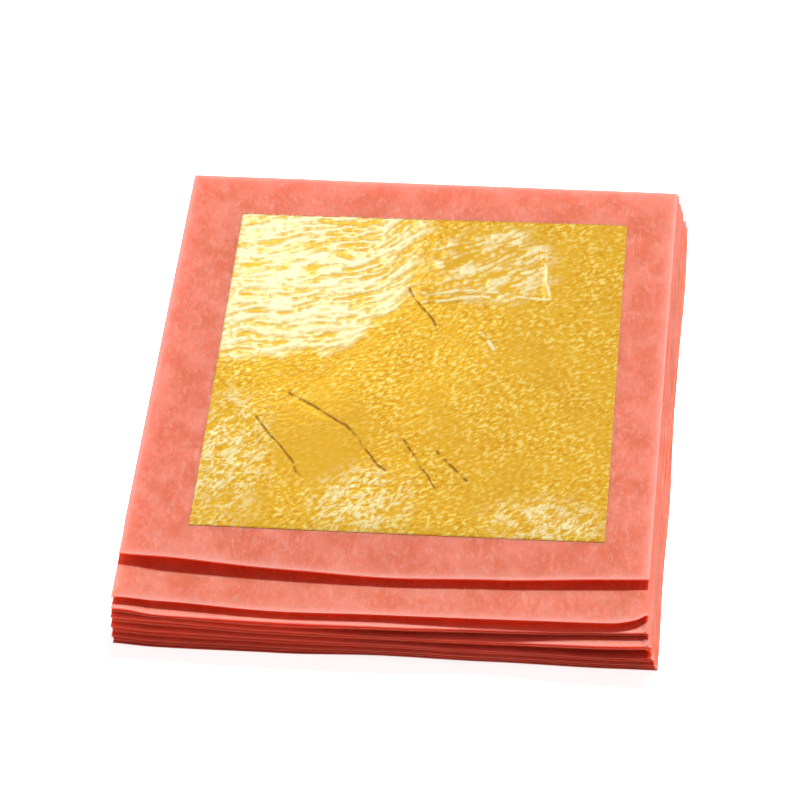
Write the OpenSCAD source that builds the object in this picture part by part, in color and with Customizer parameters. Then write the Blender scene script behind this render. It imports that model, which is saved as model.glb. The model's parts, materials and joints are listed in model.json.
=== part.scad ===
// A booklet of gold leaf: a loose pile of folded tissues with a leaf of gold in each fold, and the
// top leaf lying open on a single tissue.
// The origin is the middle of the lowest tissue's underside. +X points to the creases, +Y to the
// back and +Z up. All sizes are millimetres. Folds are numbered from the top of the pile.

/* [Gold leaf] */
// Side of a square gold leaf
leaf_side = 43.3; // [35:0.1:47]
// Thickness of a leaf, drawn thicker than beaten gold so that it is a solid
leaf_t = 0.05; // [0.03:0.01:0.1]
// How far right of the pile's middle the leaves lie
leaf_x = 0.15; // [-2:0.05:2]
// How far behind the pile's middle the leaves lie
leaf_y = 3.15; // [-4:0.05:4]
// Turn of the leaf on show, anticlockwise in degrees
top_leaf_turn = 0.65; // [-2:0.05:2]
// Most that a leaf inside a fold is turned, in degrees
inner_leaf_turn = 1.5; // [0:0.1:3]

/* [Folded tissues] */
// Thickness of the tissue
tissue_t = 0.1; // [0.06:0.01:0.14]
// Width of the lowest tissue, folded, from its cut edges to its crease
folded_w = 56.3; // [54:0.1:70]
// Depth of the lowest tissue from front to back
folded_d = 60.4; // [58:0.1:75]
// Air between a sheet and the next thing above it
air = 0.03; // [0.02:0.01:0.05]
// How far each crease lies in from the crease below it
crease_inset = 0.14; // [0:0.01:0.2]
// Most that a cut left edge lies in from the lowest tissue's
left_scatter = 0.3; // [0:0.05:0.6]
// Slope of the front edges, which are cut out of square, in degrees
front_skew = 0.6; // [-1:0.1:1]
// How far the middle of a front edge bows forward of its ends
front_bow = 0.4; // [0:0.05:1]
// Radius of the worn front corner of the top fold
worn_corner_r = 1.4; // [0.5:0.1:3]

/* [Carrier tissue] */
// Depth of the single tissue under the leaf on show
carrier_d = 53.9; // [50:0.1:58]
// How far its left edge lies in from the lowest tissue's
carrier_left_inset = 0.15; // [0:0.05:1]
// How far its right edge lies in from the top crease
carrier_right_inset = 0.15; // [0:0.05:1]
// How far the middle of its front edge bows forward of the ends
carrier_bow = 0.85; // [0:0.05:1.5]

/* [Mouths, from the top fold down] */
// Rise of each fold's upper half at its open left edge
mouth_left = [0.9, 0.1, 0.1, 0.2, 0.25, 0.2, 0.35, 0.25, 0.25];
// Rise of each fold's upper half at its middle
mouth_middle = [1.2, 0, 0.5, 0, 0.6, 0, 0.3, 0, 0];
// Rise of each fold's upper half at its crease
mouth_crease = [0.5, 0, 0.9, 0, 1.1, 0, 0.1, 0, 0];
// How far each fold's upper half lies in from the front of its lower half
front_inset = [0.85, 0.05, 0.4, 0.05, 0.4, 0.05, 0.25, 0.05, 0.05];

/* [Hidden] */
$fn = 96;
FOLDS = len(mouth_left);
tissue_colour = "salmon";
gold_colour = "gold";
left_x = -folded_w / 2;
back_y = folded_d / 2;
// Straight pieces that the curve of a sheet is drawn with, left to right
bends = 32;
// Straight pieces that a bowed front edge is drawn with
bow_bends = 12;
// Spare material beyond an outline that trims it
spare = 1;

// Heights of the sheets. u runs from -1 at the open left edge to 1 where the creases begin.
function ease(v) = (1 - cos(180 * v)) / 2;
function settle(l, m, r, u) = u < 0 ? l + (m - l) * ease(u + 1) : m + (r - m) * ease(u);
function mouth(k, u) = settle(mouth_left[k - 1], mouth_middle[k - 1], mouth_crease[k - 1], u);
function lower_z(k, u) = k == FOLDS ? 0 : upper_z(k + 1, u) + tissue_t + air;
function upper_z(k, u) = lower_z(k, u) + tissue_t + leaf_t + air + mouth(k, u);
function carrier_z(u) = upper_z(1, u) + tissue_t + air;

// Places of the folds' edges
function crease_x(k) = folded_w / 2 - (FOLDS - k) * crease_inset;
function crease_r(k) = (upper_z(k, 1) + tissue_t - lower_z(k, 1)) / 2;
function left_edge(n) = left_x + left_scatter * (1 + sin(97 * n)) / 2;
function lower_front(k) = k == FOLDS ? -folded_d / 2 : upper_front(k + 1);
function upper_front(k) = lower_front(k) + front_inset[k - 1];

// The sheets are flat from here to their creases
flat_x = min([for (k = [1 : FOLDS]) crease_x(k) - crease_r(k)]);
function bend_u(i) = -1 + 2 * i / bends;
function bend_x(i) = left_x + (flat_x - left_x) * i / bends;

// Section across a sheet, from beyond its left edge to end_x. The heights are its underside's at
// each bend.
module sheet_section(heights, thickness, end_x) {
    under = concat(
        [[left_x - spare, heights[0]]],
        [for (i = [0 : bends]) [bend_x(i), heights[i]]],
        [[end_x, heights[bends]]]
    );
    last = len(under) - 1;
    top = [for (i = [last : -1 : 0]) under[i] + [0, thickness]];
    polygon(concat(under, top));
}

// Quarter of a rolled crease: side is 1 for the upper half and -1 for the lower half
module crease_section(k, side) {
    r = crease_r(k);
    translate([crease_x(k) - r, lower_z(k, 1) + r])
        intersection() {
            difference() {
                circle(r);
                circle(r - tissue_t);
            }
            translate([0, side > 0 ? 0 : -r])
                square(r);
        }
}

// Solid of a section that runs from front to back of the pile
module run_back() {
    translate([0, back_y, 0])
        rotate([90, 0, 0])
            linear_extrude(folded_d + 2 * spare)
                children();
}

// What trims a sheet to its outline, as a prism taller than the pile
module outline_prism() {
    translate([0, 0, -spare])
        linear_extrude(carrier_z(0) + 2 * tissue_t + 2 * spare)
            children();
}

// Outline of a sheet. Its front edge slopes by skew degrees, and its middle, at front_y, lies bow
// forward of the line between its ends.
module sheet_outline(left, right, front_y, skew, bow) {
    middle = (left + right) / 2;
    half = (right - left) / 2;
    front = [
        for (i = [0 : bow_bends])
            let (u = -1 + 2 * i / bow_bends)
                [middle + u * half, front_y + (middle + u * half) * tan(skew) + bow * u * u]
    ];
    polygon(concat([[left, back_y]], front, [[right, back_y]]));
}

// The same outline with its front right corner worn round
module worn_outline(left, right, front_y, skew, bow) {
    r = worn_corner_r;
    corner_y = front_y + right * tan(skew) + bow;
    difference() {
        sheet_outline(left, right, front_y, skew, bow);
        translate([right - r, corner_y + r])
            difference() {
                translate([0, -r - spare])
                    square([r + spare, r + spare]);
                circle(r);
            }
    }
}

module fold_lower(k) {
    color(tissue_colour)
        intersection() {
            run_back() {
                sheet_section([for (i = [0 : bends]) lower_z(k, bend_u(i))], tissue_t,
                    crease_x(k) - crease_r(k));
                crease_section(k, -1);
            }
            outline_prism()
                sheet_outline(left_edge(2 * k), crease_x(k) + spare, lower_front(k), front_skew,
                    front_bow);
        }
}

module fold_upper(k) {
    left = left_edge(2 * k + 1);
    color(tissue_colour)
        intersection() {
            run_back() {
                sheet_section([for (i = [0 : bends]) upper_z(k, bend_u(i))], tissue_t,
                    crease_x(k) - crease_r(k));
                crease_section(k, 1);
            }
            outline_prism()
                if (k == 1)
                    worn_outline(left, crease_x(k), upper_front(k), front_skew, front_bow);
                else
                    sheet_outline(left, crease_x(k) + spare, upper_front(k), front_skew, front_bow);
        }
}

module carrier_tissue() {
    left = left_x + carrier_left_inset;
    right = crease_x(1) - carrier_right_inset;
    color(tissue_colour)
        intersection() {
            run_back()
                sheet_section([for (i = [0 : bends]) carrier_z(bend_u(i))], tissue_t,
                    crease_x(1));
            outline_prism()
                sheet_outline(left, right, back_y - carrier_d, 0, carrier_bow);
        }
}

// Leaf 1 lies on the carrier tissue, and each other leaf on the lower half of a fold
module gold_leaf(n) {
    turn = n == 1 ? top_leaf_turn : inner_leaf_turn * sin(137 * n);
    heights = n == 1
        ? [for (i = [0 : bends]) carrier_z(bend_u(i)) + tissue_t + air]
        : [for (i = [0 : bends]) lower_z(n - 1, bend_u(i)) + tissue_t];
    color(gold_colour)
        intersection() {
            run_back()
                sheet_section(heights, leaf_t, crease_x(1));
            outline_prism()
                translate([leaf_x, leaf_y])
                    rotate(turn)
                        square(leaf_side, center = true);
        }
}

carrier_tissue();
for (n = [1 : FOLDS + 1])
    gold_leaf(n);
for (k = [1 : FOLDS])
    fold_upper(k);
for (k = [1 : FOLDS])
    fold_lower(k);
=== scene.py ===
import json
import logging
import math
from dataclasses import dataclass, field
from enum import Enum
from typing import Callable, Optional, Sequence, Union

import bpy
import numpy as np
from mathutils import Matrix, Vector

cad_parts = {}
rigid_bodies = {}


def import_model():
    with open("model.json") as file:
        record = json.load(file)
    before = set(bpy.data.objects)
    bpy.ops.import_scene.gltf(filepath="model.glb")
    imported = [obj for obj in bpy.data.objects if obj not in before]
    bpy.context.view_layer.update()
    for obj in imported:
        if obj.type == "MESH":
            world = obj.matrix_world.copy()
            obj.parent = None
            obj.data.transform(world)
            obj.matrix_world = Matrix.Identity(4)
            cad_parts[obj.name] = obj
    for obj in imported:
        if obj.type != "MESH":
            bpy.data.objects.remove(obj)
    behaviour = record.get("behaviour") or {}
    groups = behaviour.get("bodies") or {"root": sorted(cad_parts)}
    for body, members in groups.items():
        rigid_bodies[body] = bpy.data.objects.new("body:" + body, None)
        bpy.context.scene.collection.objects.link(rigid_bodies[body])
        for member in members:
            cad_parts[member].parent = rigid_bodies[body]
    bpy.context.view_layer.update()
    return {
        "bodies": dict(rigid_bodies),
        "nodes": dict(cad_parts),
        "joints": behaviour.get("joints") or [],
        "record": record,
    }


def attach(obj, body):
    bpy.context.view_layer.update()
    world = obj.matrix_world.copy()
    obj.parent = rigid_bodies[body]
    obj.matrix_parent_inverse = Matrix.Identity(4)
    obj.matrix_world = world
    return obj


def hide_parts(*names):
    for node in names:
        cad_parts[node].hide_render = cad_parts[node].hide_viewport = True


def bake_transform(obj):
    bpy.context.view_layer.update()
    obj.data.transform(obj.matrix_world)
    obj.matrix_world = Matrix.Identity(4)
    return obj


log = logging.getLogger("gold_leaf_booklet")

MM = 0.001
FOLDS = 9
TISSUE_SLOT = "tissue"
GOLD_SLOT = "gold_leaf"
# A sheet's edge whose rim mask is above this is a cut one, and the others join another piece
CUT_EDGE = 0.9
Colour = tuple[float, float, float, float]
WHITE: Colour = (1.0, 1.0, 1.0, 1.0)
# What Wire.ramp takes: low, high, and the values there where they aren't 0 and 1
Span = tuple[float, ...]


class Half(Enum):
    """The two halves of a folded tissue."""

    LOWER = "lower"
    UPPER = "upper"


def smooth_step(v: np.ndarray) -> np.ndarray:
    """Ease from 0 at v = 0 to 1 at v = 1, and stay level beyond."""
    v = np.clip(v, 0, 1)
    return v * v * (3 - 2 * v)


def srgb(red: int, green: int, blue: int) -> Colour:
    """Turn an 8-bit colour as seen on a screen into the linear one that shaders take.

    Args:
        red: Red, 0 to 255.
        green: Green, 0 to 255.
        blue: Blue, 0 to 255.

    Returns:
        Linear red, green, blue and an alpha of 1.
    """
    brightest, toe_end, toe_slope, lift, power = 255, 0.04045, 12.92, 0.055, 2.4

    def linear(channel: int) -> float:
        """Undo the screen's curve for one channel."""
        c = channel / brightest
        return c / toe_slope if c <= toe_end else ((c + lift) / (1 + lift)) ** power

    return (linear(red), linear(green), linear(blue), 1.0)


@dataclass(frozen=True)
class Wire:
    """A node's socket that adds Math nodes to its own graph when it is used in arithmetic."""

    graph: "Graph"
    socket: bpy.types.NodeSocket

    def math(self, operation: str, *others: "Value", swap: bool = False) -> "Wire":
        """Add a Math node.

        Args:
            operation: The Math node's operation.
            others: What the socket is combined with.
            swap: True to put the socket second.

        Returns:
            The Math node's result.
        """
        values = (*others, self) if swap else (self, *others)
        return self.graph.add("ShaderNodeMath", dict(enumerate(values)), operation=operation)

    def __add__(self, other: "Value") -> "Wire":
        """Add a value."""
        return self.math("ADD", other)

    __radd__ = __add__

    def __sub__(self, other: "Value") -> "Wire":
        """Take a value away."""
        return self.math("SUBTRACT", other)

    def __rsub__(self, other: "Value") -> "Wire":
        """Be taken away from a value."""
        return self.math("SUBTRACT", other, swap=True)

    def __mul__(self, other: "Value") -> "Wire":
        """Multiply by a value."""
        return self.math("MULTIPLY", other)

    __rmul__ = __mul__

    def __truediv__(self, other: "Value") -> "Wire":
        """Divide by a value."""
        return self.math("DIVIDE", other)

    def ramp(self, low: float, high: float, start: float = 0.0, end: float = 1.0) -> "Wire":
        """Ease from start to end as the socket goes from low to high.

        Args:
            low: Where the change starts.
            high: Where it ends.
            start: The value at low and before.
            end: The value at high and beyond.

        Returns:
            The eased value.
        """
        values = dict(enumerate((self, low, high, start, end)))
        return self.graph.add("ShaderNodeMapRange", values, interpolation_type="SMOOTHSTEP")


Value = Union[float, Wire]


@dataclass(frozen=True)
class Grain:
    """A noise pattern. w is its place along the fourth axis, so that patterns differ."""

    per_mm: float
    detail: float
    distortion: float = 0.0
    roughness: float = 0.5
    w: float = 0.0


@dataclass
class Graph:
    """A node tree that is built one node at a time."""

    tree: bpy.types.NodeTree

    def add(self, kind: str, sockets: Optional[dict] = None, output: Union[int, str] = 0,
            **settings: object) -> Wire:
        """Add a node, set it up and wire its sockets.

        Args:
            kind: The node's type.
            sockets: Values or wires by a socket's name or number.
            output: Which output to return.
            settings: The node's properties.

        Returns:
            The chosen output.
        """
        node = self.tree.nodes.new(kind)
        for name, value in settings.items():
            setattr(node, name, value)
        for key, value in (sockets or {}).items():
            if isinstance(value, Wire):
                self.tree.links.new(value.socket, node.inputs[key])
            else:
                node.inputs[key].default_value = value
        return Wire(self, node.outputs[output]) if len(node.outputs) else Wire(self, node.inputs[0])

    def attribute(self, name: str) -> Wire:
        """Read a number that the mesh stores."""
        return self.add("ShaderNodeAttribute", output="Fac", attribute_name=name)

    def split(self, vector: Wire) -> tuple[Wire, Wire, Wire]:
        """Return a vector's x, y and z."""
        first = self.add("ShaderNodeSeparateXYZ", {0: vector})
        return tuple(Wire(self, output) for output in first.socket.node.outputs)

    def mix(self, factor: Value, first: Union[Colour, Wire], second: Union[Colour, Wire]) -> Wire:
        """Mix two colours.

        Args:
            factor: Share of the second colour.
            first: The first colour.
            second: The second colour.

        Returns:
            The mixed colour.
        """
        # The node's colour sockets stand after those of its other kinds
        first_colour, second_colour, result = 6, 7, 2
        sockets = {0: factor, first_colour: first, second_colour: second}
        return self.add("ShaderNodeMix", sockets, result, data_type="RGBA")

    def vector(self, operation: str, *values: Union[Wire, Sequence[float]]) -> Wire:
        """Add a Vector Math node and return its vector."""
        return self.add("ShaderNodeVectorMath", dict(enumerate(values)), "Vector", operation=operation)

    def noise(self, place: Wire, grain: Grain, seed: Value = 0.0) -> Wire:
        """Add a noise pattern of 0 to 1, about 0.5."""
        return self.add("ShaderNodeTexNoise", {
            "Vector": place, "W": seed + grain.w, "Scale": grain.per_mm, "Detail": grain.detail,
            "Roughness": grain.roughness, "Distortion": grain.distortion,
        }, noise_dimensions="4D")

    def swing(self, place: Wire, grain: Grain, seed: Value = 0.0) -> Wire:
        """Add a noise pattern of -0.5 to 0.5, about 0."""
        return self.noise(place, grain, seed) - 0.5


def add_object(name: str, data: bpy.types.ID) -> bpy.types.Object:
    """Make an object at the origin and put it in the scene.

    Args:
        name: Its name.
        data: Its mesh, lamp or camera.

    Returns:
        The object.
    """
    made = bpy.data.objects.new(name, data)
    bpy.context.scene.collection.objects.link(made)
    return made


def fresh_nodes(owner: Union[bpy.types.Material, bpy.types.World]) -> Graph:
    """Turn on the nodes of a material or a world, and clear them.

    Args:
        owner: The material or the world.

    Returns:
        The graph of its nodes.
    """
    owner.use_nodes = True
    owner.node_tree.nodes.clear()
    return Graph(owner.node_tree)


def object_place_mm(graph: Graph) -> Wire:
    """Return the place on the object in millimetres."""
    place = graph.add("ShaderNodeTexCoord", output="Object")
    return graph.vector("MULTIPLY", place, (1 / MM,) * 3)


@dataclass(frozen=True)
class Finish:
    """A look that can be made into a material. Each kind adds its own nodes in shade()."""

    name: str

    def shade(self, graph: Graph) -> Wire:
        """Add the nodes and return the shader."""
        raise NotImplementedError

    def make(self) -> bpy.types.Material:
        """Build the material.

        Returns:
            The material.
        """
        material = bpy.data.materials.new(self.name)
        graph = fresh_nodes(material)
        graph.add("ShaderNodeOutputMaterial", {"Surface": self.shade(graph)})
        return material


@dataclass(frozen=True)
class TissueFinish(Finish):
    """Thin coral tissue paper: clouded, fibrous and lit through, with a painted highlight along its cut edges
    and crease crests, and painted shade of deep red on its cut faces.
    """

    name: str = "coral_tissue"
    coral: Colour = srgb(199, 167, 145)
    deep: Colour = srgb(186, 140, 112)
    pale: Colour = srgb(218, 200, 184)
    # The colour of the painted highlight along cut edges and crease crests
    rim: Colour = srgb(232, 222, 216)
    # Painted shade: the deep red of shaded cut faces, as where light glows through the paper
    cut: Colour = srgb(204, 70, 40)
    cloud: Grain = Grain(0.32, 4, 0.6)
    cloud_span: Span = (0.35, 0.7)
    fibre: Grain = Grain(2.2, 6, 1.2, 0.65)
    # What places are multiplied by, so that fibres run to the back
    fibre_way: tuple[float, float, float] = (1.0, 0.5, 1.0)
    fibre_span: Span = (0.46, 0.66)
    fibre_share: float = 0.6
    speck: Grain = Grain(3.1, 3, w=2.0)
    speck_span: Span = (0.52, 0.68)
    speck_share: float = 0.5
    rim_highlight_share: float = 0.9
    # Height of the paper's tooth, and how much of it is fibres, next to specks
    tooth_mm: float = 0.028
    tooth_fibre: float = 0.6
    tooth_strength: float = 0.35
    roughness: float = 0.82
    specular: float = 0.25
    glow: Colour = (1.0, 0.26, 0.03, 1.0)
    glow_share: float = 0.7
    # How much of its glow a cut edge lacks
    cut_dimming: float = 0.75

    def shade(self, graph: Graph) -> Wire:
        """Add the tissue's nodes.

        Args:
            graph: The material's graph.

        Returns:
            The shader.
        """
        place = object_place_mm(graph)
        cloud = graph.noise(place, self.cloud)
        fibre = graph.noise(graph.vector("MULTIPLY", place, self.fibre_way), self.fibre)
        speck = graph.noise(place, self.speck)
        rim, cut = graph.attribute("rim"), graph.attribute("cut")
        base = graph.mix(cloud.ramp(*self.cloud_span), self.deep, self.coral)
        base = graph.mix(fibre.ramp(*self.fibre_span) * self.fibre_share, base, self.pale)
        base = graph.mix(speck.ramp(*self.speck_span) * self.speck_share, base, self.deep)
        # Painted highlight: paler near cut edges and along crease crests
        base = graph.mix(rim * self.rim_highlight_share, base, self.rim)
        # Painted shade on the cut faces
        base = graph.mix(cut, base, self.cut)
        tooth = (fibre * self.tooth_fibre + speck * (1 - self.tooth_fibre)) * self.tooth_mm
        normal = graph.add("ShaderNodeBump", {
            "Height": tooth, "Distance": MM, "Strength": self.tooth_strength,
        })
        shader = graph.add("ShaderNodeBsdfPrincipled", {
            "Base Color": base, "Roughness": self.roughness, "Normal": normal,
            "Specular IOR Level": self.specular,
        })
        glow = graph.add("ShaderNodeBsdfTranslucent", {"Color": self.glow, "Normal": normal})
        share = (1.0 - cut * self.cut_dimming) * self.glow_share
        return graph.add("ShaderNodeMixShader", dict(enumerate((share, shader, glow))))


@dataclass(frozen=True)
class FoldLine:
    """A straight crease in a leaf, or a ridge where height is above 0, in millimetres from its middle."""

    start: tuple[float, float]
    end: tuple[float, float]
    height: float

    def nearness(self, x: Wire, y: Wire, width: float) -> Wire:
        """Work out how near a place is.

        Args:
            x: The place's x.
            y: The place's y.
            width: Where the line fades out.

        Returns:
            1 on the line and 0 at its width and beyond.
        """
        along_x, along_y = self.end[0] - self.start[0], self.end[1] - self.start[1]
        length = math.hypot(along_x, along_y)
        from_x, from_y = x - self.start[0], y - self.start[1]
        share = (from_x * along_x + from_y * along_y) / length ** 2
        share = share.math("MINIMUM", 1.0).math("MAXIMUM", 0.0)
        away_x, away_y = from_x - share * along_x, from_y - share * along_y
        away = (away_x * away_x + away_y * away_y).math("SQRT")
        return away.ramp(0.0, width, 1.0, 0.0)


LEAF_CENTRE = (0.15, 3.15)
LEAF_LINES = (
    FoldLine((-16.2, -7.1), (-10.4, -15.2), -0.02),
    FoldLine((-13.1, -3.8), (-9.8, -6.0), -0.01),
    FoldLine((-9.8, -6.0), (-6.7, -7.9), -0.01),
    FoldLine((-6.7, -7.9), (-1.7, -13.6), -0.02),
    FoldLine((-0.1, -9.5), (4.3, -15.8), -0.02),
    FoldLine((-1.8, 11.5), (1.8, 5.7), -0.02),
    FoldLine((3.6, -10.6), (6.8, -14.6), -0.01),
    FoldLine((6.5, 5.6), (8.3, 3.3), 0.04),
    FoldLine((-0.4, 11.0), (8.1, 11.5), 0.05),
    FoldLine((0.0, 9.7), (7.1, 10.7), 0.05),
    FoldLine((12.6, 17.8), (13.4, 11.2), 0.05),
    FoldLine((9.9, 10.7), (13.5, 10.6), 0.04),
)

# How far straight lines waver, and what by, in x and in y
WAVER_MM = 1.2
WAVER_GRAINS = (Grain(0.25, 1, w=12.0), Grain(0.25, 1, w=13.0))


def waver(place: Wire) -> tuple[Wire, Wire]:
    """Return a place's x and y, shifted a little so that straight lines waver."""
    ways = zip(place.graph.split(place), WAVER_GRAINS)
    return tuple(way + place.graph.swing(place, grain) * WAVER_MM for way, grain in ways)


@dataclass(frozen=True)
class GoldFinish(Finish):
    """Beaten gold: a crisp pebbled metal with painted highlights on its pebble crests, streaks, ridges and
    crinkles, and painted shade in its pebble pits and creases, where the leaf's attributes say.
    """

    name: str = "beaten_gold"
    mid: Colour = srgb(233, 180, 46)
    # light: the painted highlight on the pebbles' crests
    light: Colour = srgb(250, 219, 118)
    # deep: painted shade in the pebble pits, and the darker tone of the worn blotches
    deep: Colour = srgb(208, 142, 20)
    # streak_highlight: the painted highlight that streaks, ridges and crinkles get
    streak_highlight: Colour = srgb(255, 244, 190)
    # crease: painted shade in the creases
    crease: Colour = srgb(140, 84, 14)
    grazing: Colour = srgb(255, 226, 150)
    # Pebbles, longer one way, and what share of their height the finer grain has
    pebble: Grain = Grain(2.7, 1, 0.5, 0.4)
    pebble_turn: float = 35.0
    pebble_stretch: tuple[float, float, float] = (1.7, 1.0, 1.0)
    pebble_mm: float = 0.024
    pebble_highlight_span: Span = (0.53, 0.64)
    pit_shade_span: Span = (0.46, 0.32)
    pit_shade_share: float = 0.7
    grain: Grain = Grain(5.5, 2, 0.3, w=4.0)
    grain_share: float = 0.06
    # How much of the pebbles is left where the leaf is smooth
    smooth_share: float = 0.06
    worn: Grain = Grain(0.16, 4, 0.5, w=7.0)
    worn_span: Span = (0.42, 0.7)
    worn_share: float = 0.25
    worn_roughness: Span = (0.3, 0.7, 0.06, 0.09)
    streak_highlight_share: float = 0.92
    crease_mm: float = 0.025
    crease_width: float = 0.24
    crease_shade_share: float = 0.9
    ridge_width: float = 0.32
    # Where creases and ridges fade
    patchy: Grain = Grain(0.9, 2, w=21.0)
    crease_patches: Span = (0.36, 0.56, 0.15, 1.0)
    ridge_patches: Span = (0.38, 0.5)
    coat: float = 0.25
    coat_roughness: float = 0.06

    def shade(self, graph: Graph) -> Wire:
        """Add the gold's nodes.

        Args:
            graph: The material's graph.

        Returns:
            The shader.
        """
        place = object_place_mm(graph)
        pebbled, streaked, shown = map(graph.attribute, ("pebbled", "streaked", "shown"))
        drawn = graph.add("ShaderNodeMapping", {
            "Vector": place, "Rotation": (0.0, 0.0, math.radians(self.pebble_turn)),
            "Scale": self.pebble_stretch,
        }, vector_type="TEXTURE")
        pebble = graph.noise(drawn, self.pebble)
        grain = graph.noise(place, self.grain)
        worn = graph.noise(place, self.worn)
        patchy = graph.noise(place, self.patchy)
        creased = self.near_lines(place, -1, self.crease_width) * shown
        creased = creased * patchy.ramp(*self.crease_patches)
        ridge_highlight = self.near_lines(place, 1, self.ridge_width) * shown
        ridge_highlight = ridge_highlight * patchy.ramp(*self.ridge_patches)
        # Painted highlight on pebble crests and painted shade in pebble pits, from the same noise as their
        # bumps
        base = graph.mix(pebble.ramp(*self.pebble_highlight_span) * pebbled, self.mid, self.light)
        base = graph.mix(pebble.ramp(*self.pit_shade_span) * pebbled * self.pit_shade_share, base, self.deep)
        base = graph.mix(worn.ramp(*self.worn_span) * self.worn_share, base, self.deep)
        # Painted highlight on the streaks, crinkles and ridges
        base = graph.mix(streaked.math("MAXIMUM", ridge_highlight) * self.streak_highlight_share, base, self.streak_highlight)
        # Painted shade along the creases
        base = graph.mix(creased * self.crease_shade_share, base, self.crease)
        height = pebble * self.pebble_mm + grain * (self.pebble_mm * self.grain_share)
        height = height * (pebbled * (1 - self.smooth_share) + self.smooth_share)
        height = height - creased * self.crease_mm
        normal = graph.add("ShaderNodeBump", {"Height": height, "Distance": MM, "Strength": 1.0})
        return graph.add("ShaderNodeBsdfPrincipled", {
            "Base Color": base, "Metallic": 1.0, "Normal": normal,
            "Roughness": worn.ramp(*self.worn_roughness), "Coat Weight": self.coat,
            "Coat Roughness": self.coat_roughness, "Specular Tint": self.grazing,
        })

    @staticmethod
    def near_lines(place: Wire, sign: int, width: float) -> Wire:
        """Mark the fold lines of one kind.

        Args:
            place: The place in millimetres.
            sign: -1 for creases and 1 for ridges.
            width: Where a line fades out.

        Returns:
            1 along the lines, fading to 0 beside them.
        """
        x, y = waver(place.graph.vector("SUBTRACT", place, (*LEAF_CENTRE, 0.0)))
        nearest: Value = 0.0
        for line in LEAF_LINES:
            if line.height * sign > 0:
                nearest = line.nearness(x, y, width).math("MAXIMUM", nearest)
        return nearest


@dataclass(frozen=True)
class FloorFinish(Finish):
    """A white table top that keeps shadows, and that throws little light back up."""

    name: str = "white_table"
    bounce: Colour = (1.0, 0.52, 0.42, 1.0)
    own_light: float = 0.8
    roughness: float = 0.9
    specular: float = 0.1

    def shade(self, graph: Graph) -> Wire:
        """Add the table's nodes.

        Args:
            graph: The material's graph.

        Returns:
            The shader.
        """
        camera_ray = graph.add("ShaderNodeLightPath", output="Is Camera Ray")
        return graph.add("ShaderNodeBsdfPrincipled", {
            "Base Color": graph.mix(camera_ray, self.bounce, WHITE), "Roughness": self.roughness,
            "Specular IOR Level": self.specular, "Emission Color": WHITE,
            "Emission Strength": camera_ray * self.own_light,
        })


def node_points(node: bpy.types.Object) -> np.ndarray:
    """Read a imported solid's vertices.

    Args:
        node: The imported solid.

    Returns:
        x, y and z in millimetres, one row for each vertex.
    """
    flat = np.empty(len(node.data.vertices) * 3, np.float32)
    node.data.vertices.foreach_get("co", flat)
    return flat.reshape(-1, 3).astype(float) / MM


@dataclass
class SheetSolid:
    """A tissue's section and outline in millimetres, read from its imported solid.

    The roll at a crease is half round: crease_z is its middle height and roll its outer radius, 0 on
    a tissue that isn't folded.
    """

    x: np.ndarray
    under: np.ndarray
    front_x: np.ndarray
    front_y: np.ndarray
    left: float
    right: float
    back: float
    crease_z: float = 0.0
    roll: float = 0.0

    @classmethod
    def read(cls, node: bpy.types.Object, half: Optional[Half]) -> "SheetSolid":
        """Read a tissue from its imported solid.

        Args:
            node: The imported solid.
            half: Which half of a folded tissue it is, or None for a single one.

        Returns:
            The tissue's section and outline.
        """
        # How far in from the right end the roll's whole height is found, and its middle's
        roll_zone, sliver = 0.8, 0.001
        lines_per_mm = 100
        points = node_points(node)
        left, right, back = points[:, 0].min(), points[:, 0].max(), points[:, 1].max()
        crease_z = roll = 0.0
        if half:
            crease_z = points[points[:, 0] > right - sliver, 2].mean()
            near = points[points[:, 0] > right - roll_zone, 2]
            roll = near.max() - crease_z if half is Half.UPPER else crease_z - near.min()
        line = np.round(points[:, 0] * lines_per_mm)
        lines = np.unique(line)
        under = np.array([points[line == u, 2].min() for u in lines])
        front = np.array([points[line == u, 1].min() for u in lines])
        x = lines / lines_per_mm
        flat = x <= right - roll + 0.5 / lines_per_mm
        ahead = front < 0
        return cls(x[flat], under[flat], x[ahead], front[ahead], left, right, back, crease_z, roll)

    @property
    def flat_end(self) -> float:
        """Where the roll of the crease begins."""
        return self.right - self.roll

    def front(self, x: np.ndarray) -> np.ndarray:
        """Return the front edge's y at each x."""
        return np.interp(x, self.front_x, self.front_y)


def ease_between(at: np.ndarray, places: Sequence[float], values: Sequence[float]) -> np.ndarray:
    """Ease from one value to the next over a row of places.

    Args:
        at: Where the value is wanted.
        places: The places, ascending.
        values: A value for each.

    Returns:
        The value at each point, level beyond the ends.
    """
    at = np.asarray(at, float)
    total = np.full(at.shape, float(values[0]))
    for start, end, low, high in zip(places, places[1:], values, values[1:]):
        total += (high - low) * smooth_step((at - start) / (end - start))
    return total


@dataclass(frozen=True)
class FrontLie:
    """How the front margin of a tissue lies, in millimetres, at ACROSS places from its left corner on.

    level is its upper side's height, and forward how far its edge lies ahead of its solid's. The
    margin keeps its level for hold behind the edge, and joins its solid's at reach.
    """

    level: tuple[float, ...]
    forward: tuple[float, ...]
    hold: float = 2.0
    reach: float = 12.0

    ACROSS = (-1.0, -0.86, -0.4, 0.0, 0.4, 0.86, 1.0)

    def blend(self, solid_top: np.ndarray, across: np.ndarray, behind: np.ndarray,
              drops: Sequence[float]) -> np.ndarray:
        """Work out the upper side's height.

        Args:
            solid_top: The solid's height at each point.
            across: Place from left to right, -1 to 1.
            behind: Distance behind the front edge.
            drops: How far the tissue lies below the one that level is given for, at ACROSS.

        Returns:
            The height at each point.
        """
        share = smooth_step((self.reach - behind) / (self.reach - self.hold))
        level = ease_between(across, self.ACROSS, np.subtract(self.level, drops))
        return solid_top + (level - solid_top) * share


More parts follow.
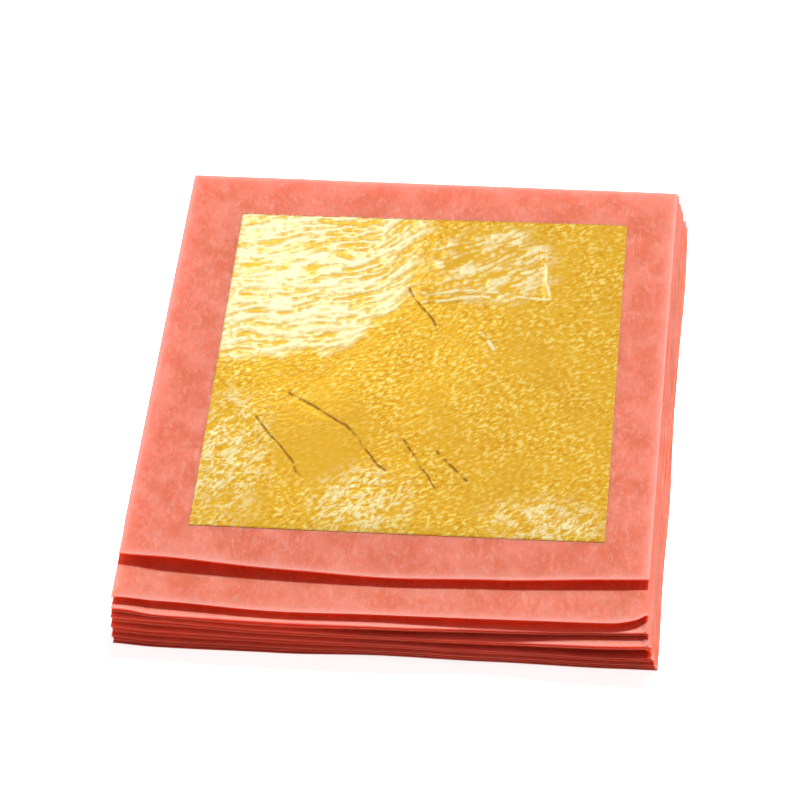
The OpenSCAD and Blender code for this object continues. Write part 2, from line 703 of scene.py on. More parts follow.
@dataclass(frozen=True)
class Cockle:
    """Slow random waves of a sheet of paper: a few sines of fixed seed."""

    seed: int
    height: float
    shortest: float = 11.0
    longest: float = 34.0
    waves: int = 7
    # How many times their usual height the waves' sum reaches at its peaks
    peak: float = 1.6

    def at(self, x: np.ndarray, y: np.ndarray) -> np.ndarray:
        """Work out the height of the waves.

        Args:
            x: The places' x.
            y: The places' y.

        Returns:
            The height at each place, mostly within plus or minus height.
        """
        rng = np.random.default_rng(self.seed)
        total = np.zeros(np.broadcast(x, y).shape)
        for _ in range(self.waves):
            turn, phase = rng.uniform(0, 2 * math.pi, 2)
            length = rng.uniform(self.shortest, self.longest)
            along = x * math.cos(turn) + y * math.sin(turn)
            total += np.sin(2 * math.pi * along / length + phase)
        return self.height * total / math.sqrt(self.waves) / self.peak


@dataclass
class Sheet:
    """One layer of the pile as it lies: its solid's section with the front margin of real paper."""

    solid: SheetSolid
    below: Optional["Sheet"]
    clearance: float
    thickness: float
    lie: FrontLie
    drops: Sequence[float]
    cockle: Cockle

    def front(self, x: np.ndarray) -> np.ndarray:
        """Return the front edge's y at each x."""
        return self.solid.front(x) - ease_between(x / self.solid.right, FrontLie.ACROSS, self.lie.forward)

    def under(self, x: np.ndarray, y: np.ndarray) -> np.ndarray:
        """Work out the underside's height, clear of the sheet below.

        Args:
            x: The places' x.
            y: The places' y.

        Returns:
            The height at each place.
        """
        solid = self.solid
        top = np.interp(x, solid.x, solid.under) + self.thickness
        top = self.lie.blend(top, x / solid.right, y - self.front(x), self.drops)
        height = top - self.thickness + self.cockle.at(x, y)
        if self.below is None:
            return np.maximum(height, 0)
        return np.maximum(height, self.below.top(x, y) + self.clearance)

    def top(self, x: np.ndarray, y: np.ndarray) -> np.ndarray:
        """Return the upper side's height at each place."""
        return self.under(x, y) + self.thickness

    def shift(self, y: np.ndarray) -> np.ndarray:
        """Return how far the sheet lies above its solid where its roll begins, at each y."""
        x = np.full_like(y, self.solid.flat_end)
        return self.under(x, y) - np.interp(x, self.solid.x, self.solid.under)


def rows_between(start: np.ndarray, end: np.ndarray, count: int, fine_end: bool = True) -> np.ndarray:
    """Space rows evenly from start to end, with finer rows beside a cut edge.

    Args:
        start: First place, one number or one for each column. It is at a cut edge.
        end: Last place, likewise.
        count: Rows between the fine ones.
        fine_end: True where a cut edge is at the end.

    Returns:
        The places, with the rows as the last axis.
    """
    # How far in from a cut edge its finer rows are
    first = np.array([0.0, 0.12, 0.3, 0.55, 0.85])
    last = first if fine_end else first[:1]
    start, end = np.asarray(start, float)[..., None], np.asarray(end, float)[..., None]
    low, high = start + first[-1], end - last[-1]
    middle = low + (high - low) * np.linspace(0, 1, count)[1:-1]
    return np.concatenate([start + first, middle, end - last[::-1]], axis=-1)


@dataclass
class Shell:
    """A thin closed sheet between two grids of points in millimetres, its outer and inner sides.

    rim is how near each point is to a cut edge or a crease's crest, the mask of a painted
    highlight, and cut_columns how many columns, from the left, have the painted shade of a cut at
    their ends.
    """

    outer: np.ndarray
    inner: np.ndarray
    rim: np.ndarray
    cut_columns: int = 0

    def build(self, name: str, material: bpy.types.Material) -> bpy.types.Object:
        """Make the sheet's object.

        Args:
            name: The piece's name.
            material: Its finish.

        Returns:
            The object, at the origin.
        """
        columns, rows = self.rim.shape
        first = np.arange(columns * rows).reshape(columns, rows)
        second = first + columns * rows
        faces = [self.quads(first, False), self.quads(second, True)]
        smooth = [np.ones(len(f), bool) for f in faces]
        cut = [np.zeros(len(f)) for f in faces]
        front, back, left, right = np.s_[:, 0], np.s_[:, -1], np.s_[0, :], np.s_[-1, :]
        for edge, turn in ((front, False), (back, True), (left, True), (right, False)):
            wall = self.quads(np.stack([second[edge], first[edge]], axis=1), turn)
            faces.append(wall)
            smooth.append(np.zeros(len(wall), bool))
            # Cut faces take the painted shade of a cut
            cut.append(np.full(len(wall), float(self.rim[edge].min() > CUT_EDGE)))
            if len(wall) == columns - 1:
                cut[-1][self.cut_columns:] = 0
        mesh = bpy.data.meshes.new(name)
        points = np.concatenate([self.outer.reshape(-1, 3), self.inner.reshape(-1, 3)]) * MM
        mesh.from_pydata(points, [], np.concatenate(faces))
        mesh.polygons.foreach_set("use_smooth", np.concatenate(smooth))
        attribute = mesh.attributes.new("rim", "FLOAT", "POINT")
        attribute.data.foreach_set("value", np.tile(self.rim.ravel(), 2).astype(np.float32))
        attribute = mesh.attributes.new("cut", "FLOAT", "FACE")
        attribute.data.foreach_set("value", np.concatenate(cut).astype(np.float32))
        mesh.materials.append(material)
        return add_object(name, mesh)

    @staticmethod
    def quads(index: np.ndarray, flip: bool) -> np.ndarray:
        """List the four-sided faces of a grid.

        Args:
            index: The number of each of its vertices.
            flip: True to turn the faces over.

        Returns:
            The vertices' numbers, one row for each face.
        """
        faces = np.stack([index[:-1, :-1], index[1:, :-1], index[1:, 1:], index[:-1, 1:]], axis=-1)
        faces = faces.reshape(-1, 4)
        return faces[:, ::-1] if flip else faces


@dataclass
class TissueMaker:
    """Turns the pile's layers into thin closed sheets."""

    material: bpy.types.Material
    columns: int = 76
    rows: int = 76
    roll_columns: int = 24
    rim_highlight_width: float = 0.36
    # How strong the painted highlight on the crest of a crease is, with some wear there too, next to a cut
    # edge's, and how narrow it is
    crest_highlight_and_wear: float = 0.7
    crest_power: int = 4

    def grid(self, x: np.ndarray, sheet: Sheet, back: float) -> tuple[np.ndarray, np.ndarray]:
        """Lay rows from the front edge to the back over columns at x.

        Args:
            x: The columns' places.
            sheet: The layer whose front edge they start at.
            back: Where they end.

        Returns:
            x and y of each point.
        """
        y = rows_between(sheet.front(x), np.full_like(x, back), self.rows)
        return np.repeat(x[:, None], y.shape[1], axis=1), y

    def rim(self, *distances: np.ndarray) -> np.ndarray:
        """Return how near each point is to a cut edge, the mask of the painted highlight there: 1 on it,
        fading with distance.
        """
        return np.exp(-np.minimum.reduce(np.broadcast_arrays(*distances)) / self.rim_highlight_width)

    def flat(self, name: str, sheet: Sheet, back: float) -> bpy.types.Object:
        """Make a single tissue, or the lower half of a folded one up to its roll.

        Args:
            name: The piece's name.
            sheet: The layer that it is.
            back: Its back edge.

        Returns:
            The piece.
        """
        solid = sheet.solid
        folded = solid.roll > 0
        end = solid.flat_end if folded else solid.right
        x, y = self.grid(rows_between(solid.left, end, self.columns, fine_end=not folded), sheet, back)
        low = sheet.under(x, y)
        right_edge = np.full_like(x, np.inf) if folded else solid.right - x
        rim = self.rim(x - solid.left, y - y[:, :1], y[:, -1:] - y, right_edge)
        top = np.stack([x, y, low + sheet.thickness], axis=-1)
        return Shell(top, np.stack([x, y, low], axis=-1), rim).build(name, self.material)

    def rolled(self, name: str, lower: Sheet, upper: Sheet, back: float,
               wander: Cockle) -> bpy.types.Object:
        """Make the upper half of a folded tissue with the whole roll of its crease.

        Args:
            name: The piece's name.
            lower: The fold's lower half, which the roll ends on.
            upper: The fold's upper half.
            back: Its back edge.
            wander: How its crease wanders to the left and right.

        Returns:
            The piece.
        """
        solid = upper.solid
        half_t = upper.thickness / 2
        flat_x = rows_between(solid.left, solid.flat_end, self.columns, fine_end=False)
        turn = np.radians(np.linspace(90, -90, self.roll_columns + 1))[1:]
        middle = solid.roll - half_t
        roll_x = solid.flat_end + middle * np.cos(turn)
        edge_x = solid.flat_end + solid.roll * np.cos(turn)
        x, y = self.grid(np.concatenate([flat_x, edge_x]), upper, back)
        lower_y = self.grid(edge_x, lower, back)[1]
        flats = len(flat_x)
        share = ((np.sin(turn) + 1) / 2)[:, None]
        y[flats:] = lower_y + (y[flats:] - lower_y) * share
        x[flats:] = roll_x[:, None] + wander.at(0.0, y[flats:]) * np.cos(turn)[:, None]
        z = np.empty_like(x)
        z[:flats] = upper.under(x[:flats], y[:flats]) + half_t
        shift = lower.shift(y[flats:]) * (1 - share) + upper.shift(y[flats:]) * share
        z[flats:] = solid.crease_z + middle * np.sin(turn)[:, None] + shift
        turn = np.concatenate([np.full(flats, math.pi / 2), turn])
        across, up = half_t * np.cos(turn)[:, None], half_t * np.sin(turn)[:, None]
        outer = np.stack([x + across, y, z + up], axis=-1)
        inner = np.stack([x - across, y, z - up], axis=-1)
        rim = self.rim(x - solid.left, y - y[:, :1], y[:, -1:] - y)
        # Painted highlight along the roll's crest, partly wear
        rim = np.maximum(rim, self.crest_highlight_and_wear * np.cos(turn)[:, None] ** self.crest_power)
        return Shell(outer, inner, rim, flats).build(name, self.material)


@dataclass
class LeafMaker:
    """Turns flat squares into wrinkled leaves of beaten gold with one Geometry Nodes tree."""

    material: bpy.types.Material
    thickness: float = 0.02
    weld_m: float = 1e-6
    # A face whose normal leans more than this is part of the edge
    edge_normal_z: float = 0.3
    tree: bpy.types.NodeTree = field(init=False)
    inputs: dict[str, str] = field(init=False, default_factory=dict)

    def __post_init__(self) -> None:
        """Build the tree once, for every leaf."""
        self.tree = self.wrinkle_tree()

    def wrinkle_tree(self) -> bpy.types.NodeTree:
        """Build the tree that wrinkles a flat leaf and gives it its thickness.

        Returns:
            The tree.
        """
        tree = bpy.data.node_groups.new("beaten_leaf", "GeometryNodeTree")
        graph = Graph(tree)
        tree.interface.new_socket("Geometry", in_out="OUTPUT", socket_type="NodeSocketGeometry")
        tree.interface.new_socket("Geometry", in_out="INPUT", socket_type="NodeSocketGeometry")
        for name, start in (("Streak height", 0.04), ("Crinkle height", 0.022), ("Pebble height", 0.015),
                            ("Puff height", 0.06), ("Fold lines", 1.0), ("Seed", 0.0),
                            ("Thickness", self.thickness)):
            socket = tree.interface.new_socket(name, in_out="INPUT", socket_type="NodeSocketFloat")
            socket.default_value = start
            self.inputs[name] = socket.identifier
        entry = graph.add("NodeGroupInput", output="Geometry")
        given = {name: Wire(graph, entry.socket.node.outputs[name]) for name in self.inputs}
        relief = LeafRelief(graph, given)
        marked = entry
        stored = {"pebbled": relief.pebbled, "streaked": relief.streaked, "shown": given["Fold lines"]}
        for name, value in stored.items():
            marked = graph.add("GeometryNodeStoreNamedAttribute",
                               {"Geometry": marked, "Name": name, "Value": value},
                               data_type="FLOAT", domain="POINT")
        lift = graph.add("ShaderNodeCombineXYZ", {"Z": relief.height * MM})
        moved = graph.add("GeometryNodeSetPosition", {"Geometry": marked, "Offset": lift})
        rise = graph.add("ShaderNodeCombineXYZ", {"Z": given["Thickness"] * MM})
        raised = graph.add("GeometryNodeExtrudeMesh", {
            "Mesh": moved, "Offset": rise, "Offset Scale": 1.0, "Individual": False,
        }, mode="FACES")
        underside = graph.add("GeometryNodeFlipFaces", {"Mesh": moved})
        joined = graph.add("GeometryNodeJoinGeometry", {"Geometry": underside})
        tree.links.new(raised.socket, joined.socket.node.inputs["Geometry"])
        closed = graph.add("GeometryNodeMergeByDistance", {"Geometry": joined, "Distance": self.weld_m})
        real = graph.add("GeometryNodeRealizeInstances", {"Geometry": closed})
        finished = graph.add("GeometryNodeSetMaterial", {"Geometry": real, "Material": self.material})
        graph.add("NodeGroupOutput", {"Geometry": finished})
        return tree

    def build(self, name: str, node: bpy.types.Object, rests_on: Callable, cells: int,
              sizes: dict[str, float]) -> bpy.types.Object:
        """Make one leaf.

        Args:
            name: The piece's name.
            node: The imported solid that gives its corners.
            rests_on: Height of what it lies on, at each x and y.
            cells: Cells along a side.
            sizes: Values for the tree's named inputs.

        Returns:
            The piece.
        """
        x, y = self.square(node_points(node), cells)
        z = rests_on(x, y)
        points = np.stack([x, y, z], axis=-1).reshape(-1, 3) * MM
        mesh = bpy.data.meshes.new(name)
        mesh.from_pydata(points, [], Shell.quads(np.arange(z.size).reshape(z.shape), False))
        piece = add_object(name, mesh)
        modifier = piece.modifiers.new("wrinkles", "NODES")
        modifier.node_group = self.tree
        for key, value in sizes.items():
            modifier[self.inputs[key]] = value
        wrinkled = piece.evaluated_get(bpy.context.evaluated_depsgraph_get())
        piece.data = bpy.data.meshes.new_from_object(wrinkled)
        piece.modifiers.clear()
        for polygon in piece.data.polygons:
            polygon.use_smooth = abs(polygon.normal.z) > self.edge_normal_z
        return piece

    @staticmethod
    def square(points: np.ndarray, cells: int) -> tuple[np.ndarray, np.ndarray]:
        """Fill the square between a solid's corners with a grid.

        Args:
            points: The solid's vertices.
            cells: Cells along a side.

        Returns:
            x and y of each point.
        """
        x, y = points[:, 0], points[:, 1]
        front_left, front_right, back_left, back_right = (
            points[i, :2] for i in ((x + y).argmin(), (x - y).argmax(), (x - y).argmin(), (x + y).argmax()))
        steps = np.linspace(0, 1, cells + 1)
        u, v = (grid[..., None] for grid in np.meshgrid(steps, steps, indexing="ij"))
        front, back = front_left * (1 - u) + front_right * u, back_left * (1 - u) + back_right * u
        place = front * (1 - v) + back * v
        return place[..., 0], place[..., 1]


@dataclass(frozen=True)
class Patch:
    """An oval part of a leaf: its middle and its half width and depth, in millimetres."""

    x: float
    y: float
    wide: float
    deep: float

    def away(self, x: Wire, y: Wire) -> Wire:
        """Return how far from the middle a place is, squared: 1 on the oval's outline."""
        return ((x - self.x) / self.wide).math("POWER", 2.0) + ((y - self.y) / self.deep).math("POWER", 2.0)


@dataclass
class LeafRelief:
    """Height and surface of a leaf's wrinkles, as nodes that read the place on it in millimetres."""

    graph: Graph
    given: dict[str, Wire]
    flat: Wire = field(init=False)
    x: Wire = field(init=False)
    y: Wire = field(init=False)
    height: Wire = field(init=False)
    pebbled: Wire = field(init=False)
    streaked: Wire = field(init=False)

    LINE_WIDTH = 0.45
    PEBBLES = Grain(1.25, 2, 0.6, w=5.0)
    PUFFS = Grain(0.09, 1, w=9.0)
    PUFF_FLOOR = 0.4
    SMOOTH_PATCH = Patch(-9.0, -9.5, 6.0, 6.0)
    SMOOTH_FADE = (0.5, 1.3, 0.35, 1.0)
    UNEVEN = Grain(0.18, 2, w=17.0)
    UNEVEN_SPAN = (0.35, 0.6, 0.45, 1.0)
    # The main streaks lie above a ragged edge that steps up to the right, and left of another one
    RAGGED = Grain(0.22, 4, 0.5, w=3.0)
    RAGGED_MM = 13.0
    MAIN_FLOOR = (-8.0, -1.0, 2.0, 10.0)
    MAIN_FLOOR_FADE = (-1.0, 1.5)
    MAIN_SIDE = -1.0
    MAIN_SIDE_RAGGED = 0.4
    MAIN_SIDE_FADE = (-1.5, 1.5)
    SECOND = Patch(7.0, 15.5, 7.0, 5.5)
    SECOND_RAGGED = 0.16
    SECOND_FADE = (0.6, 1.3, 1.0, 0.0)
    STREAK_SPAN = (0.38, 0.58)
    STREAK_FLOOR = 0.4
    # How much streaks take off the pebbles' height, and off their look
    STREAK_FLATTENS = 0.8
    STREAK_SMOOTHS = 0.85
    # Where crests get the painted highlight
    MAIN_HIGHLIGHT = (0.415, 0.54)
    SECOND_HIGHLIGHT = (0.47, 0.58)
    CRINKLE_HIGHLIGHT = (0.65, 0.95)
    # How the streaks wander, climb and stretch, and the patterns across them with their shares
    WANDER = Grain(0.12, 2, w=1.0)
    WANDER_MM = 4.0
    CLIMB = 0.14
    CLIMB_STEPS = ((-9.0, 3.0, 0.0, 5.0), (2.0, 14.0, 0.0, 4.0))
    STRETCH = (-3.0, 3.0, 0.17, 0.26)
    BROAD = Grain(0.75, 2, 0.5, w=2.0)
    BROAD_SHARE = 0.27
    NARROW = Grain(2.2, 2, 0.5, w=2.5)
    NARROW_SHARE = 0.48
    BEADS = Grain(1.7, 2, 0.5, w=2.8)
    BEADS_SHARE = 0.25
    CRINKLE_PATCHES = (
        Patch(-18.6, -13.0, 4.5, 9.0), Patch(-3.9, -18.0, 5.5, 5.0), Patch(15.6, -19.5, 6.5, 3.5),
    )
    PATCH_EDGE = Grain(0.3, 3)
    PATCH_RAGGED = 1.2
    PATCH_FADE = (0.6, 2.2, 1.0, 0.0)
    CRINKLE = Grain(1.1, 3, 1.0, w=4.0)
    CRINKLE_TURN = math.radians(50)
    CRINKLE_STRETCH = 0.4
    CRINKLE_SHARPNESS = 7.0
    CRINKLE_FLOOR = 0.5

    def __post_init__(self) -> None:
        """Work out the height and the surface's shares."""
        graph, given = self.graph, self.given
        place = graph.vector("MULTIPLY", graph.add("GeometryNodeInputPosition"), (1 / MM,) * 3)
        place = graph.vector("SUBTRACT", place, (*LEAF_CENTRE, 0.0))
        self.flat = graph.vector("MULTIPLY", place, (1.0, 1.0, 0.0))
        self.x, self.y, _ = graph.split(self.flat)
        main, second = self.streak_zones()
        zone = main.math("MAXIMUM", second)
        crinkled, streaks, crinkles = self.crinkle_zone(), self.streaks(), self.crinkles()
        pebbles = graph.swing(self.flat, self.PEBBLES, given["Seed"]) * given["Pebble height"]
        puffs = graph.noise(self.flat, self.PUFFS, given["Seed"]) - self.PUFF_FLOOR
        height = (streaks.ramp(*self.STREAK_SPAN) - self.STREAK_FLOOR) * zone * given["Streak height"]
        height = height + pebbles * (1.0 - zone * self.STREAK_FLATTENS)
        height = height + (crinkles - self.CRINKLE_FLOOR) * crinkled * given["Crinkle height"]
        height = height + puffs * given["Puff height"]
        wavy_x, wavy_y = waver(self.flat)
        for line in LEAF_LINES:
            near = line.nearness(wavy_x, wavy_y, self.LINE_WIDTH)
            height = height + near * given["Fold lines"] * line.height
        self.height = height.math("MAXIMUM", 0.0)
        # Painted highlight: the crests of the streaks and crinkles, pale as if they caught the light
        pale = main * streaks.ramp(*self.MAIN_HIGHLIGHT)
        pale = pale.math("MAXIMUM", second * streaks.ramp(*self.SECOND_HIGHLIGHT))
        self.streaked = pale.math("MAXIMUM", crinkled * crinkles.ramp(*self.CRINKLE_HIGHLIGHT))
        smooth = self.SMOOTH_PATCH.away(self.x, self.y).ramp(*self.SMOOTH_FADE)
        uneven = graph.noise(self.flat, self.UNEVEN).ramp(*self.UNEVEN_SPAN)
        self.pebbled = (1.0 - zone * self.STREAK_SMOOTHS) * smooth * uneven

    def streak_zones(self) -> tuple[Wire, Wire]:
        """Mark the two parts of the leaf that are drawn into streaks.

        Returns:
            1 over the main part, fading to 0 beyond, and the same for the second one.
        """
        x, y = self.x, self.y
        ragged = self.graph.swing(self.flat, self.RAGGED) * self.RAGGED_MM
        above = (y - x.ramp(*self.MAIN_FLOOR) + ragged).ramp(*self.MAIN_FLOOR_FADE)
        beside = (ragged * self.MAIN_SIDE_RAGGED + self.MAIN_SIDE - x).ramp(*self.MAIN_SIDE_FADE)
        second = (self.SECOND.away(x, y) + ragged * self.SECOND_RAGGED).ramp(*self.SECOND_FADE)
        return above * beside, second

    def crinkle_zone(self) -> Wire:
        """Mark the patches of small crinkles along the front and left edges.

        Returns:
            1 in the patches, fading to 0 beyond.
        """
        zone: Value = 0.0
        for patch in self.CRINKLE_PATCHES:
            ragged = self.graph.noise(self.flat, self.PATCH_EDGE, patch.x) * self.PATCH_RAGGED
            zone = (patch.away(self.x, self.y) + ragged).ramp(*self.PATCH_FADE).math("MAXIMUM", zone)
        return zone

    def streaks(self) -> Wire:
        """Work out the streaks: long ones to the right, that turn up the leaf there and get shorter.

        Returns:
            Waves about 0.5.
        """
        graph, seed = self.graph, self.given["Seed"]
        across = self.y - self.x * self.CLIMB + graph.swing(self.flat, self.WANDER, seed) * self.WANDER_MM
        for step in self.CLIMB_STEPS:
            across = across - self.x.ramp(*step)
        along = self.x * self.x.ramp(*self.STRETCH)
        bent = graph.add("ShaderNodeCombineXYZ", {"X": along, "Y": across})
        waves = graph.noise(bent, self.BROAD, seed) * self.BROAD_SHARE
        waves = waves + graph.noise(bent, self.NARROW, seed) * self.NARROW_SHARE
        return waves + graph.noise(self.flat, self.BEADS, seed) * self.BEADS_SHARE

    def crinkles(self) -> Wire:
        """Work out short sharp ridges that rise to the right.

        Returns:
            1 on a ridge, and less beside it.
        """
        cos, sin = math.cos(self.CRINKLE_TURN), math.sin(self.CRINKLE_TURN)
        along = (self.x * cos + self.y * sin) * self.CRINKLE_STRETCH
        across = self.y * cos - self.x * sin
        place = self.graph.add("ShaderNodeCombineXYZ", {"X": along, "Y": across})
        wave = self.graph.swing(place, self.CRINKLE, self.given["Seed"])
        return 1.0 - wave.math("ABSOLUTE") * self.CRINKLE_SHARPNESS


@dataclass
class Pile:
    """The whole booklet: its layers from the lowest up, and the pieces made from them."""

    frame: dict
    tissue: TissueMaker
    gold: LeafMaker
    tissue_t: float = 0.1
    touch: float = 0.015
    leaf_room: float = 0.06
    leaf_air: float = 0.012
    top_cells: int = 218
    inner_cells: int = 60
    back_scatter: float = 0.35
    layers: dict[str, Sheet] = field(init=False, default_factory=dict)
    # The single tissue, and then the uppermost tissue of each bundle that lies pressed together
    carrier_lie: FrontLie = FrontLie((5.6, 5.5, 5.28, 5.12, 5.18, 5.35, 5.4),
                                     (0.0, -0.2, -0.02, 0.12, -0.12, -0.35, -0.35), 0.0, 7.0)
    bundle_lies: tuple[FrontLie, ...] = (
        FrontLie((4.7, 4.35, 4.35, 4.38, 4.42, 4.5, 4.6), (-0.25, -0.3, 0.1, -0.1, -0.1, 0.0, -0.5),
                 4.0, 10.5),
        FrontLie((4.1, 3.75, 3.75, 3.78, 3.65, 3.7, 3.86), (-0.05, 0.15, 0.2, 0.1, -0.15, -0.2, -0.2)),
        FrontLie((3.3, 3.15, 2.7, 2.45, 2.75, 3.2, 3.35), (0.1, 0.1, 0.1, 0.0, 0.2, 0.6, 0.6)),
        FrontLie((2.35, 2.15, 1.85, 1.7, 1.6, 1.45, 1.5), (0.15, 0.2, 0.1, 0.0, 0.15, 0.4, 0.4)),
        FrontLie((1.15, 1.0, 0.95, 1.0, 0.95, 0.85, 0.75), (0.2, 0.35, 0.15, 0.0, 0.15, 0.4, 0.4)),
    )
    cockle_height: float = 0.02
    crease_wander: float = 0.12
    tissues_in_bundle: int = 4
    # Where across the pile its fanned left end ends, -1 to 1
    fan_end: float = -0.2
    back_seed: int = 11
    crease_seed: int = 40

    # The inner leaves are smoother, without the folds of the one on show
    INNER_LEAF = {"Streak height": 0.01, "Crinkle height": 0.01, "Pebble height": 0.008, "Puff height": 0.01,
                  "Fold lines": 0.0}

    def stack(self) -> None:
        """Lay every tissue on the one below it."""
        below = None
        for number in range(FOLDS, 0, -1):
            for half in Half:
                name = f"fold_{number}_{half.value}"
                room = self.leaf_room if half is Half.UPPER else 0.0
                solid = SheetSolid.read(self.frame["nodes"][name], half)
                bundle, drops = self.place_in_bundle(number, half)
                below = Sheet(solid, below, self.touch + room, self.tissue_t, self.bundle_lies[bundle], drops,
                              Cockle(bundle, self.cockle_height))
                self.layers[name] = below
        solid = SheetSolid.read(self.frame["nodes"]["carrier_tissue"], None)
        self.layers["carrier_tissue"] = Sheet(solid, below, self.touch, self.tissue_t, self.carrier_lie,
                                              (0.0,) * len(FrontLie.ACROSS), Cockle(0, self.cockle_height))

    def place_in_bundle(self, number: int, half: Half) -> tuple[int, np.ndarray]:
        """Find which bundle half of a fold lies in: the odd folds' mouths part one from the next.

        A bundle is pressed together, except at its left end, where its tissues fan out to the next one.

        Args:
            number: The fold's number.
            half: Which half.

        Returns:
            The bundle's number, and how far the half lies below its uppermost tissue at FrontLie.ACROSS.
        """
        last = len(self.bundle_lies) - 1
        bundle = min((number + 1) // 2 if half is Half.LOWER else number // 2, last)
        if bundle == 0:
            return 0, np.zeros(len(FrontLie.ACROSS))
        folds = number - (2 * bundle - 1)
        drop = folds * (2 * self.tissue_t + 2 * self.touch + self.leaf_room)
        if half is Half.UPPER:
            drop -= self.tissue_t + self.touch + self.leaf_room
        share = (2 * folds - (half is Half.UPPER)) / self.tissues_in_bundle
        below = self.bundle_lies[bundle + 1].level if bundle < last else self.tissue_t
        fanned = share * np.subtract(self.bundle_lies[bundle].level, below)
        return bundle, np.where(np.array(FrontLie.ACROSS) < self.fan_end, np.maximum(fanned, drop), drop)

    def build(self) -> None:
        """Make every piece, and seat each on its body except the folds' upper halves, which are left
        unattached where their solids were.
        """
        self.stack()
        rng = np.random.default_rng(self.back_seed)
        for number in range(1, FOLDS + 1):
            lower, upper = (self.layers[f"fold_{number}_{half.value}"] for half in Half)
            back = upper.solid.back - rng.uniform(0, self.back_scatter)
            name = f"fold_{number}_lower"
            self.seat(self.tissue.flat(f"tissue_{number}_lower", lower, back), name, name, TISSUE_SLOT)
            name = f"fold_{number}_upper"
            wander = Cockle(self.crease_seed + number, self.crease_wander)
            rolled = self.tissue.rolled(f"tissue_{number}_upper", lower, upper, back, wander)
            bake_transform(rolled)
            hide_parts(name)
            log.info("%s turns from %s into %s", rolled.name, f"fold_{number}_lower", name)
        name = "carrier_tissue"
        carrier = self.layers[name]
        single = self.tissue.flat("single_tissue", carrier, carrier.solid.back)
        self.seat(single, name, name, TISSUE_SLOT)
        self.lay_leaf(1, carrier, "gold_leaf_1", self.top_cells, self.leaf_air, {})
        for number in range(1, FOLDS + 1):
            name = f"fold_{number}_lower"
            sizes = {**self.INNER_LEAF, "Seed": float(number)}
            self.lay_leaf(number + 1, self.layers[name], name, self.inner_cells, self.touch / 2, sizes)

    @staticmethod
    def roll_span(solid: SheetSolid) -> tuple[tuple[float, float, float], tuple[float, float, float]]:
        """Find where a fold turns from one half into the other, in metres.

        The way between the places leans to the left, so that all of the upper half lies beyond its end.

        Args:
            solid: The fold's upper half.

        Returns:
            The foot of the roll, where it starts to turn, and the place where it has turned.
        """
        lean = 0.25
        foot, head = solid.crease_z - solid.roll, solid.crease_z + solid.roll
        start = (solid.flat_end, 0.0, foot)
        end = (solid.flat_end - lean * (head - foot), 0.0, head)
        return tuple(v * MM for v in start), tuple(v * MM for v in end)

    def lay_leaf(self, number: int, sheet: Sheet, body: str, cells: int, air: float,
                 sizes: dict[str, float]) -> None:
        """Lay a leaf on a tissue.

        Args:
            number: The leaf's number, from the top.
            sheet: The tissue under it.
            body: The body that it moves with.
            cells: Cells along a side.
            air: Air under it.
            sizes: Values for the wrinkle tree's inputs.
        """
        name = f"gold_leaf_{number}"
        leaf = self.gold.build(f"beaten_leaf_{number}", self.frame["nodes"][name],
                               lambda x, y: sheet.top(x, y) + air, cells, sizes)
        self.seat(leaf, body, name, GOLD_SLOT)

    @staticmethod
    def seat(piece: bpy.types.Object, body: str, node: str, slot: str) -> None:
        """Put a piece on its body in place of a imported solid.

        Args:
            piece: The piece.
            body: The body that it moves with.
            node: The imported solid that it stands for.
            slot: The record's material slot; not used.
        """
        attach(piece, body)
        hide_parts(node)
        log.info("%s rides on %s, %d faces", piece.name, body, len(piece.data.polygons))


@dataclass(frozen=True)
class Camera:
    """Where the photograph was taken from, in millimetres and degrees."""

    place: tuple[float, float, float] = (37.82, -200.70, 262.21)
    aim: tuple[float, float, float] = (-1.88, 3.30, 0.0)
    roll: float = -5.98
    lens: float = 137.83
    sensor: float = 36.0
    clip_start_m: float = 0.01

    def set_up(self) -> None:
        """Make the camera and look through it."""
        data = bpy.data.cameras.new("camera")
        data.lens, data.sensor_width, data.sensor_fit = self.lens, self.sensor, "HORIZONTAL"
        data.clip_start = self.clip_start_m
        camera = add_object("camera", data)
        place, aim = Vector(self.place) * MM, Vector(self.aim) * MM
        turn = (aim - place).to_track_quat("-Z", "Y").to_matrix().to_4x4()
        roll = Matrix.Rotation(math.radians(self.roll), 4, "Z")
        camera.matrix_world = Matrix.Translation(place) @ turn @ roll
        bpy.context.scene.camera = camera


@dataclass(frozen=True)
class Softbox:
    """A square lamp that faces the booklet: the way to it, its distance and side in metres, its radiance.

    A matt lamp lights the booklet and isn't mirrored in it, and a glint is only mirrored.
    """

    name: str
    way: tuple[float, float, float]
    distance: float
    side: float
    radiance: float
    matt: bool = False
    glint: bool = False

    def set_up(self) -> None:
        """Make the lamp."""
        data = bpy.data.lights.new(self.name, "AREA")
        data.size = self.side
        data.energy = self.radiance * math.pi * self.side ** 2
        lamp = add_object(self.name, data)
        lamp.visible_glossy = not self.matt
        lamp.visible_diffuse = not self.glint
        way = Vector(self.way).normalized()
        turn = way.to_track_quat("Z", "Y").to_matrix().to_4x4()
        lamp.matrix_world = Matrix.Translation(way * self.distance) @ turn


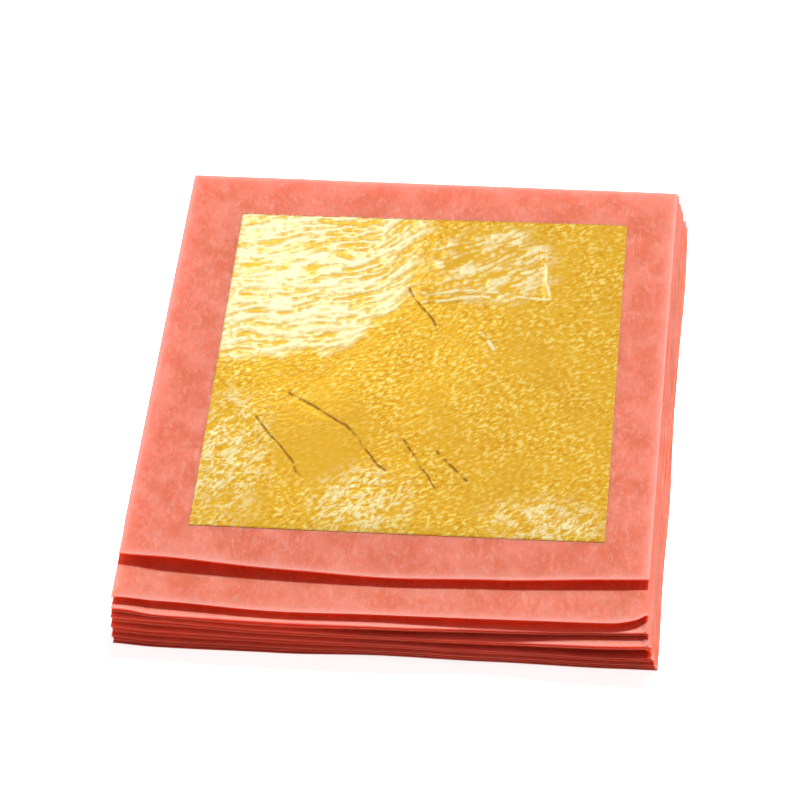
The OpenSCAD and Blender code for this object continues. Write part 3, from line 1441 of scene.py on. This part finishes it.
@dataclass(frozen=True)
class Studio:
    """Plain light: a white room that is dimmer towards the front, two softboxes and a table."""

    key: Softbox = Softbox("key_softbox", (0.12, 0.68, 0.73), 3.0, 0.35, 680.0, matt=True)
    glint: Softbox = Softbox("glint_softbox", (-0.163, 0.652, 0.74), 1.2, 0.12, 0.45, glint=True)
    # The room's light, from in front and below to above and behind
    room: Span = (-0.4, 0.9, 0.05, 0.22)
    room_up: float = 0.8
    room_back: float = 0.6
    # What gold mirrors, from above and in front to the white behind it
    mirrored: Span = (0.3, 0.6, 0.7, 1.0)
    table_side: float = 3.0
    # Air under the booklet in millimetres, so that the table isn't in one plane with its underside
    table_gap: float = 0.02

    def set_up(self) -> None:
        """Make the lamps, the room and the table."""
        self.key.set_up()
        self.glint.set_up()
        self.light_room()
        self.lay_table()
        bpy.context.scene.view_settings.view_transform = "Standard"

    def light_room(self) -> None:
        """Make the world: white where it is seen, and a soft light from above and behind elsewhere."""
        world = bpy.data.worlds.new("room")
        bpy.context.scene.world = world
        graph = fresh_nodes(world)
        path = graph.add("ShaderNodeLightPath", output="Is Camera Ray")
        outputs = path.socket.node.outputs
        seen = path + Wire(graph, outputs["Is Transmission Ray"])
        way = graph.add("ShaderNodeTexCoord", output="Generated")
        _, back, up = graph.split(way)
        ambient = (up * self.room_up + back * self.room_back).ramp(*self.room)
        strength = ambient + (1.0 - ambient) * seen.math("MINIMUM", 1.0)
        mirrored = Wire(graph, outputs["Is Glossy Ray"])
        strength = strength * (1.0 - mirrored) + mirrored * back.ramp(*self.mirrored)
        shader = graph.add("ShaderNodeBackground", {"Color": WHITE, "Strength": strength})
        graph.add("ShaderNodeOutputWorld", {"Surface": shader})

    def lay_table(self) -> None:
        """Make the table under the booklet."""
        half, z = self.table_side / 2, -self.table_gap * MM
        mesh = bpy.data.meshes.new("table")
        corners = [(-half, -half, z), (half, -half, z), (half, half, z), (-half, half, z)]
        mesh.from_pydata(corners, [], [(0, 1, 2, 3)])
        mesh.materials.append(FloorFinish().make())
        table = add_object("table", mesh)


def main() -> None:
    """Build the booklet, its light and its camera."""
    logging.basicConfig(level=logging.INFO, format="%(message)s")
    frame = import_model()
    Camera().set_up()
    Studio().set_up()
    Pile(frame, TissueMaker(TissueFinish().make()), LeafMaker(GoldFinish().make())).build()
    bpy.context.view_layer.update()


if __name__ == "__main__":
    main()
